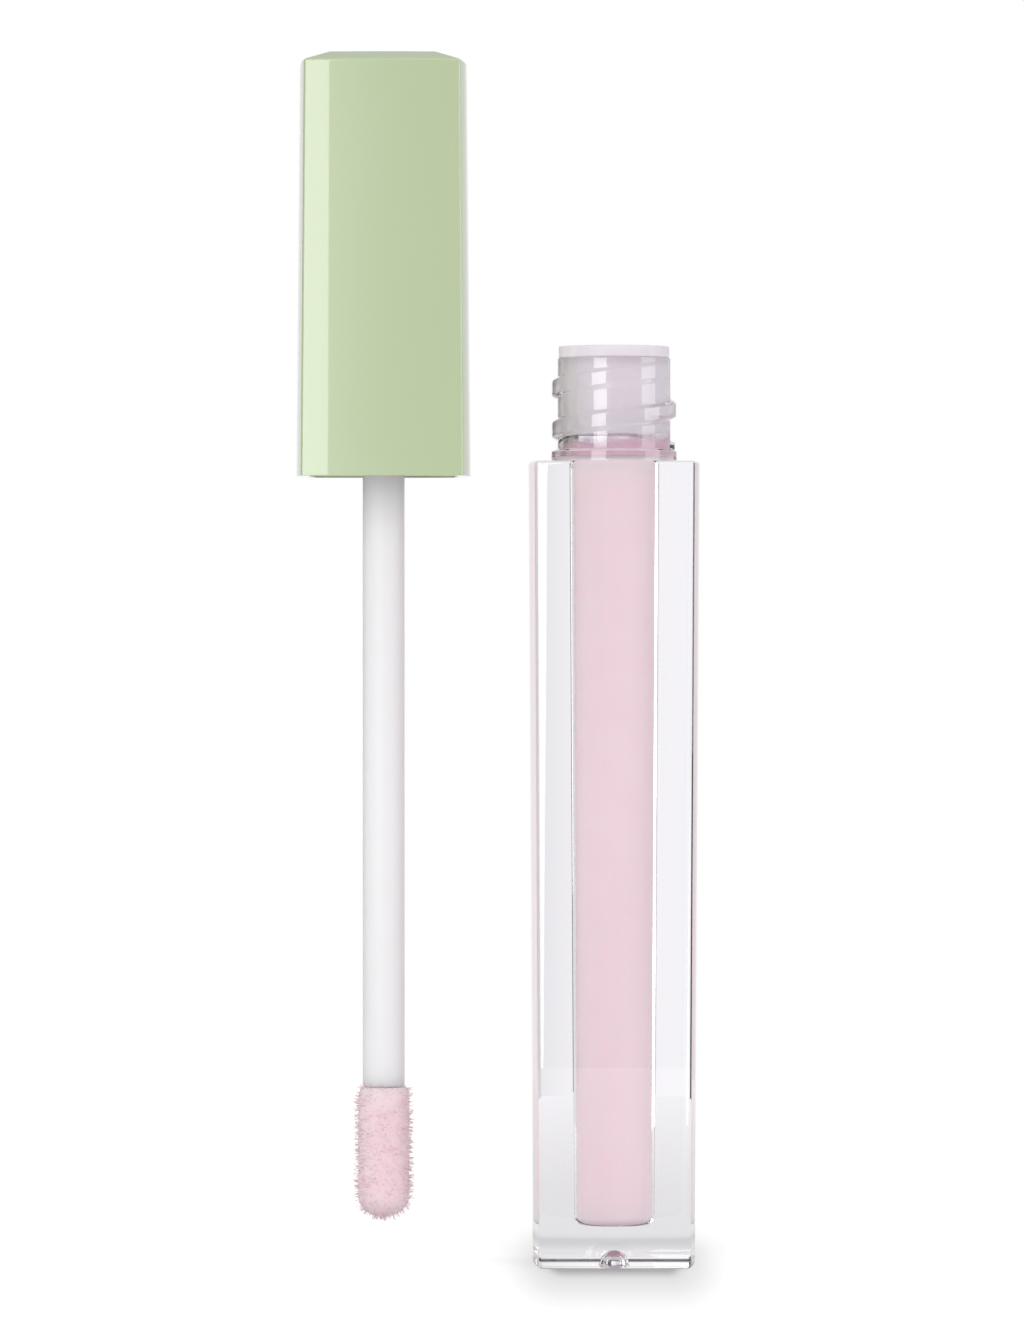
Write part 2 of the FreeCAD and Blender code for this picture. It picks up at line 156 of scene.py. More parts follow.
# one surface through rings; each point's normal is weighted by area, so that flats stay flat
def ringMesh(name, rings, at=(0, 0, 0), closed=False):
    starts = np.cumsum([0] + [len(r) for r in rings])
    points = np.concatenate(rings) + np.array(at)
    faces = []
    pairs = list(zip(range(len(rings) - 1), range(1, len(rings))))
    if closed:
        pairs.append((len(rings) - 1, 0))
    for i, j in pairs:
        a, b = starts[i], starts[j]
        if len(rings[i]) == 1:
            faces += [(a, b + k, b + (k + 1) % ringCount) for k in range(ringCount)]
        elif len(rings[j]) == 1:
            faces += [(a + k, b, a + (k + 1) % ringCount) for k in range(ringCount)]
        else:
            faces += [(a + k, b + k, b + (k + 1) % ringCount, a + (k + 1) % ringCount)
                      for k in range(ringCount)]
    corners = np.array([(f[0], f[1], f[2], f[-1]) for f in faces])
    p = points[corners]
    areas = np.cross(p[:, 2] - p[:, 0], p[:, 3] - p[:, 1]) / 2
    threeSided = [len(f) == 3 for f in faces]
    areas[threeSided] = (np.cross(p[:, 1] - p[:, 0], p[:, 2] - p[:, 0]) / 2)[threeSided]
    if (areas * p.mean(1)).sum() < 0:  # inside out
        faces = [f[::-1] for f in faces]
        areas = -areas
    normals = np.zeros_like(points)
    for k in range(4):
        np.add.at(normals, corners[:, k], areas)
    normals /= np.maximum(np.linalg.norm(normals, axis=1, keepdims=True), 1e-12)
    mesh = bpy.data.meshes.new(name)
    mesh.from_pydata((points * mm).tolist(), [], [tuple(int(v) for v in f) for f in faces])
    mesh.shade_smooth()
    mesh.normals_split_custom_set_from_vertices(normals.tolist())
    return mesh


# one piece with its material and body, in place of the CAD parts that it stands for
def addPiece(name, mesh, material, body, slot, *stoodFor):
    piece = bpy.data.objects.new(name, mesh)
    scene.collection.objects.link(piece)
    mesh.materials.clear()
    mesh.materials.append(material)
    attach(piece, body)
    if stoodFor:
        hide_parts(*stoodFor)


# Clear copolyester, thick walled and polished in the mould: glass clear, with the faint waves of
# flow that a thick moulding keeps. Lamps and scattered light pass straight through it.
def clearPolyester():
    material, tree, out = newMaterial("clearPolyester")
    place = addNode(tree, "ShaderNodeTexCoord")
    stretch = addNode(tree, "ShaderNodeMapping", {"Scale": (1, 1, 0.2)},
                      {"Vector": place.outputs["Object"]})
    flow = addNode(tree, "ShaderNodeTexNoise", {"Scale": 90.0, "Detail": 1.0},
                   {"Vector": stretch.outputs[0]})  # waves about 10 mm across
    bump = addNode(tree, "ShaderNodeBump", {"Strength": 0.03, "Distance": 0.0004},
                   {"Height": flow.outputs[0]})
    plastic = addNode(tree, "ShaderNodeBsdfPrincipled",
                      {"Base Color": linear("#fbfafe"), "Roughness": 0.0, "IOR": 1.57,
                       "Transmission Weight": 1.0}, {"Normal": bump.outputs[0]})
    passing = addNode(tree, "ShaderNodeBsdfTransparent", {"Color": linear("#fbf8f9")})
    rays = addNode(tree, "ShaderNodeLightPath")
    either = addNode(tree, "ShaderNodeMath", None, {0: rays.outputs["Is Shadow Ray"],
                     1: rays.outputs["Is Diffuse Ray"]}, operation="MAXIMUM")
    mix = addNode(tree, "ShaderNodeMixShader", None,
                  {0: either.outputs[0], 1: plastic.outputs[0], 2: passing.outputs[0]})
    tree.links.new(mix.outputs[0], out.inputs["Surface"])
    return material


# Lip gloss: a thick, milky, pale pink gel that wets the clear plastic, so the boundary between
# them shines only at a grazing angle, where it mirrors everything.
def milkyGloss():
    material, tree, out = newMaterial("milkyGloss")
    place = addNode(tree, "ShaderNodeTexCoord")
    cloud = addNode(tree, "ShaderNodeTexNoise", {"Scale": 260.0, "Detail": 2.0},
                    {"Vector": place.outputs["Object"]})  # clouds of about 4 mm
    tone = addNode(tree, "ShaderNodeMix", {6: linear("#efdae0"), 7: linear("#f2e0e5")},
                   {0: cloud.outputs[0]}, data_type="RGBA")
    gel = addNode(tree, "ShaderNodeBsdfPrincipled",
                  {"Roughness": 0.35, "IOR": 1.0, "Subsurface Weight": 0.8,
                   "Subsurface Radius": (0.004, 0.0028, 0.003), "Subsurface Scale": 1.0,
                   "Specular IOR Level": 0.0}, {"Base Color": tone.outputs[2]})
    mirror = addNode(tree, "ShaderNodeBsdfGlossy", {"Color": linear("#ffffff"), "Roughness": 0.0})
    edge = addNode(tree, "ShaderNodeFresnel", {"IOR": 0.91})
    mix = addNode(tree, "ShaderNodeMixShader", None,
                  {0: edge.outputs[0], 1: gel.outputs[0], 2: mirror.outputs[0]})
    tree.links.new(mix.outputs[0], out.inputs["Surface"])
    return material


# Lip gloss dragged up the neck's bore by the wand: a thin pink film in streaks and runs, thickest
# low down and on the right, and gone before the top.
def smearedGloss():
    material, tree, out = newMaterial("smearedGloss")
    place = addNode(tree, "ShaderNodeTexCoord")
    run = addNode(tree, "ShaderNodeMapping", {"Scale": (1, 1, 1.8)},
                  {"Vector": place.outputs["Object"]})
    smear = addNode(tree, "ShaderNodeTexNoise", {"Scale": 330.0, "Detail": 3.0, "Distortion": 0.6},
                    {"Vector": run.outputs[0]})  # smears of about 3 mm
    split = addNode(tree, "ShaderNodeSeparateXYZ", None, {0: place.outputs["Object"]})
    low = addNode(tree, "ShaderNodeMapRange",
                  {"From Min": 0.0785, "From Max": 0.0764, "To Min": -0.35, "To Max": 0.5},
                  {"Value": split.outputs["Z"]})  # heights in metres, in the foot of the neck
    right = addNode(tree, "ShaderNodeMapRange",
                    {"From Min": -0.004, "From Max": 0.004, "To Min": -0.2, "To Max": 0.2},
                    {"Value": split.outputs["X"]})  # from one side of the bore to the other
    both = addNode(tree, "ShaderNodeMath", None, {0: low.outputs[0], 1: right.outputs[0]},
                   operation="ADD")
    thick = addNode(tree, "ShaderNodeMath", None, {0: both.outputs[0], 1: smear.outputs[0]},
                    operation="ADD")
    cover = addNode(tree, "ShaderNodeMapRange",
                    {"From Min": 0.35, "From Max": 0.95, "To Min": 0.0, "To Max": 0.85},
                    {"Value": thick.outputs[0]})
    tone = addNode(tree, "ShaderNodeMix", {6: linear("#ead6e2"), 7: linear("#dfb3c8")},
                   {0: cover.outputs[0]}, data_type="RGBA")
    film = addNode(tree, "ShaderNodeBsdfPrincipled",
                   {"Roughness": 0.3, "IOR": 1.0, "Specular IOR Level": 0.0},
                   {"Base Color": tone.outputs[2]})
    passing = addNode(tree, "ShaderNodeBsdfTransparent", {"Color": linear("#ffffff")})
    mix = addNode(tree, "ShaderNodeMixShader", None,
                  {0: cover.outputs[0], 1: passing.outputs[0], 2: film.outputs[0]})
    tree.links.new(mix.outputs[0], out.inputs["Surface"])
    return material


# Low density polyethylene, unpigmented: soft, waxy and cloudy, so light goes through it blurred.
def waxyPolyethylene():
    material, tree, out = newMaterial("waxyPolyethylene")
    place = addNode(tree, "ShaderNodeTexCoord")
    haze = addNode(tree, "ShaderNodeTexNoise", {"Scale": 900.0, "Detail": 2.0},
                   {"Vector": place.outputs["Object"]})  # clouds of about 1 mm
    rough = addNode(tree, "ShaderNodeMapRange", {"To Min": 0.22, "To Max": 0.34},
                    {"Value": haze.outputs[0]})
    solid = addNode(tree, "ShaderNodeBsdfPrincipled",
                    {"Base Color": linear("#fbf6fc"), "IOR": 1.51, "Specular IOR Level": 0.2},
                    {"Roughness": rough.outputs[0]})
    passing = addNode(tree, "ShaderNodeBsdfTransparent", {"Color": linear("#f8f5f8")})
    mix = addNode(tree, "ShaderNodeMixShader", {0: 0.42},
                  {1: solid.outputs[0], 2: passing.outputs[0]})
    tree.links.new(mix.outputs[0], out.inputs["Surface"])
    return material


# ABS, solid pale green, moulded in a polished tool: an even colour with a soft bloom, under a
# clear shine.
def greenAbs():
    material, tree, out = newMaterial("greenAbs")
    place = addNode(tree, "ShaderNodeTexCoord")
    drift = addNode(tree, "ShaderNodeTexNoise", {"Scale": 60.0, "Detail": 1.0},
                    {"Vector": place.outputs["Object"]})  # colour drifts over about 17 mm
    tone = addNode(tree, "ShaderNodeMix", {6: linear("#bacba1"), 7: linear("#bdcda5")},
                   {0: drift.outputs[0]}, data_type="RGBA")
    grain = addNode(tree, "ShaderNodeTexNoise", {"Scale": 4000.0, "Detail": 2.0},
                    {"Vector": place.outputs["Object"]})  # 0.25 mm, the tool's last polish
    rough = addNode(tree, "ShaderNodeMapRange", {"To Min": 0.38, "To Max": 0.44},
                    {"Value": grain.outputs[0]})
    bump = addNode(tree, "ShaderNodeBump", {"Strength": 0.02, "Distance": 0.00002},
                   {"Height": grain.outputs[0]})
    plastic = addNode(tree, "ShaderNodeBsdfPrincipled",
                      {"IOR": 1.65, "Coat Weight": 1.0, "Coat Roughness": 0.03, "Coat IOR": 1.5},
                      {"Base Color": tone.outputs[2], "Roughness": rough.outputs[0],
                       "Normal": bump.outputs[0]})
    tree.links.new(plastic.outputs[0], out.inputs["Surface"])
    return material


# Polypropylene, unpigmented, thick walled: milk white, light soaks a millimetre or two into it.
def milkPolypropylene():
    material, tree, out = newMaterial("milkPolypropylene")
    place = addNode(tree, "ShaderNodeTexCoord")
    grain = addNode(tree, "ShaderNodeTexNoise", {"Scale": 2500.0, "Detail": 2.0},
                    {"Vector": place.outputs["Object"]})  # 0.4 mm, the grain of the mould
    rough = addNode(tree, "ShaderNodeMapRange", {"To Min": 0.42, "To Max": 0.5},
                    {"Value": grain.outputs[0]})
    bump = addNode(tree, "ShaderNodeBump", {"Strength": 0.03, "Distance": 0.00003},
                   {"Height": grain.outputs[0]})
    plastic = addNode(tree, "ShaderNodeBsdfPrincipled",
                      {"Base Color": linear("#edecee"), "IOR": 1.49, "Specular IOR Level": 0.35,
                       "Subsurface Weight": 0.9,
                       "Subsurface Radius": (0.004, 0.0038, 0.0036), "Subsurface Scale": 1.0},
                      {"Roughness": rough.outputs[0], "Normal": bump.outputs[0]})
    tree.links.new(plastic.outputs[0], out.inputs["Surface"])
    return material


# White polypropylene with filler, for the inner cap: plain, dull and opaque.
def dullPolypropylene():
    material, tree, out = newMaterial("dullPolypropylene")
    place = addNode(tree, "ShaderNodeTexCoord")
    grain = addNode(tree, "ShaderNodeTexNoise", {"Scale": 2200.0, "Detail": 3.0},
                    {"Vector": place.outputs["Object"]})  # 0.45 mm, filler near the surface
    tone = addNode(tree, "ShaderNodeMix", {6: linear("#e6e6e2"), 7: linear("#eeeeea")},
                   {0: grain.outputs[0]}, data_type="RGBA")
    rough = addNode(tree, "ShaderNodeMapRange", {"To Min": 0.38, "To Max": 0.5},
                    {"Value": grain.outputs[0]})
    plastic = addNode(tree, "ShaderNodeBsdfPrincipled", {"IOR": 1.49},
                      {"Base Color": tone.outputs[2], "Roughness": rough.outputs[0]})
    tree.links.new(plastic.outputs[0], out.inputs["Surface"])
    return material


# Foamed polyethylene for the sealing ring: chalk white with fine pores.
def foamSeal():
    material, tree, out = newMaterial("foamSeal")
    place = addNode(tree, "ShaderNodeTexCoord")
    pores = addNode(tree, "ShaderNodeTexVoronoi", {"Scale": 5000.0},
                    {"Vector": place.outputs["Object"]})  # cells of 0.2 mm
    bump = addNode(tree, "ShaderNodeBump", {"Strength": 0.25, "Distance": 0.00005},
                   {"Height": pores.outputs[0]})
    tone = addNode(tree, "ShaderNodeMix", {6: linear("#dedbd6"), 7: linear("#efece8")},
                   {0: pores.outputs[0]}, data_type="RGBA")
    foam = addNode(tree, "ShaderNodeBsdfPrincipled", {"Roughness": 0.75, "IOR": 1.5},
                   {"Base Color": tone.outputs[2], "Normal": bump.outputs[0]})
    tree.links.new(foam.outputs[0], out.inputs["Surface"])
    return material


# Nylon flock soaked in gloss: short pink fibres, so fine and wet that light goes on through them.
# The felt under them is solid and scatters light inside; through is how much light passes a loose
# fibre, which is too thin to scatter any.
def nylonFlock(name, dark, light, through=0.0):
    material, tree, out = newMaterial(name)
    place = addNode(tree, "ShaderNodeTexCoord")
    clump = addNode(tree, "ShaderNodeTexNoise", {"Scale": 1800.0, "Detail": 3.0},
                    {"Vector": place.outputs["Object"]})  # tufts of about 0.6 mm
    tone = addNode(tree, "ShaderNodeMix", {6: linear(dark), 7: linear(light)},
                   {0: clump.outputs[0]}, data_type="RGBA")
    strand = addNode(tree, "ShaderNodeTexNoise", {"Scale": 6000.0, "Detail": 2.0},
                     {"Vector": place.outputs["Object"]})  # fibres of about 0.15 mm
    nap = addNode(tree, "ShaderNodeBump", {"Strength": 0.35, "Distance": 0.00006},
                  {"Height": strand.outputs[0]})
    fibre = addNode(tree, "ShaderNodeBsdfPrincipled",
                    {"Roughness": 0.4, "IOR": 1.4, "Specular IOR Level": 0.0 if through else 0.3,
                     "Subsurface Weight": 0.0 if through else 0.8,
                     "Subsurface Radius": (0.002, 0.0014, 0.0015), "Subsurface Scale": 1.0},
                    {"Base Color": tone.outputs[2], "Normal": nap.outputs[0]})
    if not through:
        tree.links.new(fibre.outputs[0], out.inputs["Surface"])
        return material
    passing = addNode(tree, "ShaderNodeBsdfTransparent", {"Color": linear("#fdf5f7")})
    mix = addNode(tree, "ShaderNodeMixShader", {0: through},
                  {1: fibre.outputs[0], 2: passing.outputs[0]})
    tree.links.new(mix.outputs[0], out.inputs["Surface"])
    return material


# The bottle: one thick clear block with a round bore, a threaded neck and a gate dimple.
bottle = {
    "footHalf": 7.62, "shoulder": 75.3, "edge": 0.42, "shoulderEdge": 0.38, "footEdge": 0.3,
    "edgeLoss": 0.35, "floor": 3.74, "boreFloor": 3.6, "boreTop": 4.0, "boreCorner": 0.8,
    "gateRadius": 1.3, "gateDepth": 1.4, "gateEdge": 0.1, "neck": 5.31, "lipEdge": 0.12,
    "collar": 5.9, "collarTop": 76.4, "collarEdge": 0.15, "collarFade": 0.12, "threadRings": 0.07,
    "threadDepth": 0.54, "threadPitch": 3.9, "threadTurns": 1.95, "threadStart": 76.35,
    "threadRoot": 0.975, "threadCrest": 0.6, "threadFade": 0.14,
}


# how far the thread stands out at each turn round the neck, at one height
def threadAt(turn, z, size):
    out = np.zeros_like(turn)
    for lap in range(-1, 4):  # the laps that can reach the neck
        along = turn / (2 * math.pi) + lap  # turns since the thread's start
        off = np.abs(z - size["threadStart"] - along * size["threadPitch"])
        flank = size["threadRoot"] - size["threadCrest"]
        rise = np.clip((size["threadRoot"] - off) / flank, 0, 1)
        rise = rise * rise * (3 - 2 * rise)
        begin = np.clip((along + 0.02) / 0.05, 0, 1)
        end = np.clip((size["threadTurns"] - along) / size["threadFade"], 0, 1)
        out = np.maximum(out, size["threadDepth"] * rise * np.sqrt(begin * end))
    return out


# the whole skin, from the dimple in the foot out, up, over the lip and down the bore
def bottleRings(size, top):
    halfAt = lambda z: size["footHalf"] + (top["half"] - size["footHalf"]) * z / size["shoulder"]
    rings = [pole(size["gateDepth"])]
    for a in np.linspace(0, 90, 9)[1:]:
        rings.append(roundRing(size["gateRadius"] * sinDeg(a), size["gateDepth"] * cosDeg(a)))
    rings.append(roundRing(size["gateRadius"] + size["gateEdge"], 0))
    for a in np.linspace(0, 90, 10):
        lift = size["footEdge"] * (1 - cosDeg(a))
        inset = size["footEdge"] * (1 - sinDeg(a))
        corner = max(size["edge"] - size["edgeLoss"] * inset, sharp)
        rings.append(squareRing(halfAt(lift) - inset, corner, lift))
    for z in np.linspace(size["footEdge"] + 2, size["shoulder"] - 3, 5):
        rings.append(squareRing(halfAt(z), size["edge"], z))
    for a in np.linspace(0, 90, 8):
        inset = size["shoulderEdge"] * (1 - cosDeg(a))
        z = size["shoulder"] - size["shoulderEdge"] * (1 - sinDeg(a))
        rings.append(squareRing(halfAt(z) - inset, size["edge"] - inset, z))
    lip, ease, fade, step = top["lip"], size["lipEdge"], size["collarFade"], size["threadRings"]
    foot = size["collarEdge"]
    rings += roundRings(arc(size["collar"] + foot, size["shoulder"] + foot, foot, 270, 180, 5))
    for z in np.arange(size["shoulder"] + (foot + step), lip - ease, step):
        drop = np.clip((z - size["collarTop"] + fade) / (2 * fade), 0, 1)
        wall = size["collar"] + (size["neck"] - size["collar"]) * drop * drop * (3 - 2 * drop)
        rings.append(roundRing(np.maximum(wall, size["neck"] + threadAt(ringTurn, z, size)), z))
    rings += roundRings(arc(size["neck"] - ease, lip - ease, ease, 0, 90, 4))
    rings += roundRings(arc(size["boreTop"] + ease, lip - ease, ease, 90, 180, 4))
    for s in np.linspace(0, 1, 8)[1:-1]:
        rings.append(roundRing(size["boreTop"] + (size["boreFloor"] - size["boreTop"]) * s,
                               lip - ease + (size["floor"] + size["boreCorner"] - lip + ease) * s))
    rings += roundRings(arc(size["boreFloor"] - size["boreCorner"],
                            size["floor"] + size["boreCorner"], size["boreCorner"], 0, -90, 9))
    rings.append(pole(size["floor"]))
    return rings


bottleX, bottleY, bottleFoot, bottleLip = stand("bottle")
bottleHalf = (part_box("bottle")[1].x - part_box("bottle")[0].x) / 2 / mm
bottleMesh = ringMesh("clearBottle",
                      bottleRings(bottle, {"half": bottleHalf, "lip": bottleLip - bottleFoot}),
                      (bottleX, bottleY, bottleFoot))
addPiece("clearBottle", bottleMesh, clearPolyester(), "bottle", "clear_plastic", "bottle")
print("bottle made:", len(bottleMesh.polygons), "faces")

# The gloss: it wets the bore, so it reaches a hair into the plastic, and creeps up at its edge.
gloss = {"overlap": 0.015, "level": 75.5, "creep": 0.35, "filmTop": 79.6, "filmWall": 0.02,
         "filmGap": 0.02, "creepWall": 0.06, "creepFoot": 0.2, "creepRise": 0.12, "flatFrom": 0.6,
         "flatRing": 1.8}


# the bore's radius at one height: it widens a little upwards
def boreAt(z, size):
    low = size["floor"] + size["boreCorner"]
    return size["boreFloor"] + (size["boreTop"] - size["boreFloor"]) * (z - low) / (
        bottleLip - bottleFoot - size["lipEdge"] - low)


def glossRings(size):
    big, level, crest = size["overlap"], size["level"], size["level"] + size["creep"]
    rise = bottle["floor"] + bottle["boreCorner"]
    line = arc(bottle["boreFloor"] - bottle["boreCorner"], rise, bottle["boreCorner"] + big,
               -90, 0, 9)
    line += [(boreAt(z, bottle) + big, z) for z in np.linspace(rise + 2, level, 8)]
    edge = boreAt(level, bottle)
    line += [(edge + big, crest), (edge - size["creepWall"], crest),
             (edge - size["creepFoot"], level + size["creepRise"]),
             (edge - size["flatFrom"], level), (size["flatRing"], level)]
    return [pole(bottle["floor"] - big)] + roundRings(line) + [pole(level)]


def filmRings(size):
    foot = size["level"] + size["creep"] + size["filmGap"]
    line = [(boreAt(z, bottle) + size["overlap"], z) for z in np.linspace(foot, size["filmTop"], 7)]
    line += [(r - size["filmWall"], z) for r, z in line[::-1]]
    return roundRings(line)


glossMesh = ringMesh("glossFill", glossRings(gloss), (bottleX, bottleY, bottleFoot))
addPiece("glossFill", glossMesh, milkyGloss(), "bottle", "lip_gloss", "gloss_fill")
filmMesh = ringMesh("glossFilm", filmRings(gloss), (bottleX, bottleY, bottleFoot), closed=True)
addPiece("glossFilm", filmMesh, smearedGloss(), "bottle", "lip_gloss")

# The wiper: a cloudy sleeve pressed into the neck, with a flange on the lip and a cone that
# ends in the orifice.
wiper = {"flange": 5.2, "flangeEdge": 0.12, "flangeIn": 0.13, "seatGap": 0.005, "press": 0.01,
         "wall": 0.6, "mouthEdge": 0.2, "orifice": 2.095, "funnelTop": 79.95, "throat": 78.35,
         "ease": 0.06}


def wiperRings(size, foot, lip, crown):
    inner = boreAt(lip, bottle) - size["wall"]
    edge, mouth = size["flangeEdge"], size["mouthEdge"]
    line = [(boreAt(lip, bottle) + size["flangeIn"], lip + size["seatGap"]),
            (size["flange"] - 0.02, lip + size["seatGap"])]
    line += arc(size["flange"] - edge, lip + edge + 0.02, edge, -90, 0, 4)
    line += arc(size["flange"] - edge, crown - edge, edge, 0, 90, 4)
    line += arc(inner + mouth, crown - mouth, mouth, 90, 180, 5)
    line += [(inner, lip - 2), (inner, size["funnelTop"] + 0.3), (inner - 0.05, size["funnelTop"])]
    line += [(size["orifice"] + 0.08, size["throat"]), (size["orifice"], size["throat"] - 0.15),
             (size["orifice"], foot + size["ease"]), (size["orifice"] + size["ease"], foot)]
    line += [(boreAt(foot, bottle) - 0.2, foot)]
    line += [(boreAt(z, bottle) + size["press"], z) for z in np.linspace(foot + 0.2, lip - 0.15, 6)]
    return roundRings(line)


wiperX, wiperY, wiperFoot, wiperTop = stand("wiper")
wiperMesh = ringMesh("wiperSleeve", wiperRings(wiper, wiperFoot, bottleLip, wiperTop),
                     (wiperX, wiperY, 0), closed=True)
addPiece("wiperSleeve", wiperMesh, waxyPolyethylene(), "bottle", "frosted_plastic", "wiper")
print("gloss and wiper made")

# The overcap: a tall square shell with a flat crown inside a shallow bevel.
overcap = {"rimHalf": 8.194, "creaseHalf": 7.844, "creaseHeight": 38.74, "crownHalf": 5.174,
           "edge": 0.28, "creaseEdge": 0.3, "wall": 1.2, "roof": 1.8, "rimEdge": 0.06,
           "crownEase": 0.12, "crownDrop": 0.012, "crownRing": 2.5, "insideEdge": 0.3}


# the whole skin, from the middle of the crown out, down the sides and up the hollow
def overcapRings(size, height):
    slope = (height - size["creaseHeight"]) / (size["creaseHalf"] - size["crownHalf"])
    tilt = math.degrees(math.atan(slope))
    draft = size["creaseHalf"] - size["rimHalf"]
    halfAt = lambda z: size["rimHalf"] + draft * z / size["creaseHeight"]
    bend = size["creaseEdge"] * math.tan(math.radians(90 - tilt) / 2)  # crease to the arc's ends
    ease, crown, inner = size["crownEase"], size["crownHalf"], size["insideEdge"]
    rings = [pole(height), squareRing(size["crownRing"], sharp, height),
             squareRing(crown - ease, sharp, height),
             squareRing(crown, sharp, height - size["crownDrop"]),
             squareRing(crown + ease, sharp, height - slope * ease)]
    centre = size["creaseHeight"] - bend
    for a in np.linspace(90 - tilt, 0, 12):
        half = halfAt(centre) - size["creaseEdge"] * (1 - cosDeg(a))
        corner = max(size["edge"] - (halfAt(centre) - half), sharp)
        rings.append(squareRing(half, corner, centre + size["creaseEdge"] * sinDeg(a)))
    for z in np.linspace(centre - 2, size["rimEdge"] + 1, 7):
        rings.append(squareRing(halfAt(z), size["edge"], z))
    for a in np.linspace(0, 90, 5):
        inset = size["rimEdge"] * (1 - cosDeg(a))
        rings.append(squareRing(halfAt(0) - inset, size["edge"] - inset,
                                size["rimEdge"] * (1 - sinDeg(a))))
    inside = halfAt(0) - size["wall"]
    rings += [squareRing(inside + 0.1, 0.4, 0), squareRing(inside, inner, 0.1)]
    roof = size["creaseHeight"] - size["roof"]
    inside -= (size["rimHalf"] - size["creaseHalf"]) * roof / size["creaseHeight"]
    rings += [squareRing(inside + 0.05, inner, roof - 0.4), squareRing(inside - 0.3, inner, roof),
              pole(roof)]
    return rings


capX, capY, capRim, capTop = stand("overcap")
overcapMesh = ringMesh("greenOvercap", overcapRings(overcap, capTop - capRim),
                       (capX, capY, capRim))
addPiece("greenOvercap", overcapMesh, greenAbs(), "cap", "green_plastic", "overcap")

# The inner cap and its sealing ring keep their own shapes; they show from below.
for name, material in (("inner_cap", dullPolypropylene()), ("seal_ring", foamSeal())):
    nodes[name].data.materials.clear()
    nodes[name].data.materials.append(material)

# The wand: a straight rod with an eased lower end.
wand = {"radius": 1.965, "endEdge": 0.3, "topEdge": 0.2, "sunk": 0.55}
wandX, wandY, wandFoot, wandTop = stand("wand_stem")
wandFoot -= wand["sunk"]  # the coat begins a little below the core's shoulder, and so does the rod
wandLine = arc(wand["radius"] - wand["endEdge"], wandFoot + wand["endEdge"], wand["endEdge"],
               -90, 0, 8)
wandLine += [(wand["radius"], z) for z in np.linspace(wandFoot + 1, wandTop - 1, 12)]
wandLine += arc(wand["radius"] - wand["topEdge"], wandTop - wand["topEdge"], wand["topEdge"],
                0, 90, 4)
wandMesh = ringMesh("wandRod", [pole(wandFoot)] + roundRings(wandLine) + [pole(wandTop)],
                    (wandX, wandY, 0))
addPiece("wandRod", wandMesh, milkPolypropylene(), "cap", "wand_plastic", "wand_stem")
print("cap and wand made")

# The flocked tip: a bullet of felted fibre, and the loose hairs that stand out from it.
flock = {"coat": 2.4, "dome": 1.95, "top": 0.55, "lift": 0.12, "perSquareMm": 9.0,
         "length": 0.38, "spread": 0.5, "lean": 0.35, "sway": 0.12, "thick": 0.027, "seed": 7,
         "shoulder": ((0.01, 1.2), (0.04, 0.9), (0.09, 0.6), (0.16, 0.3), (0.25, 0.08),
                      (0.33, 0))}
tip = {"foot": 0.6, "footRadius": 1.2, "side": 1.4, "radius": 2.0, "under": 0.1}


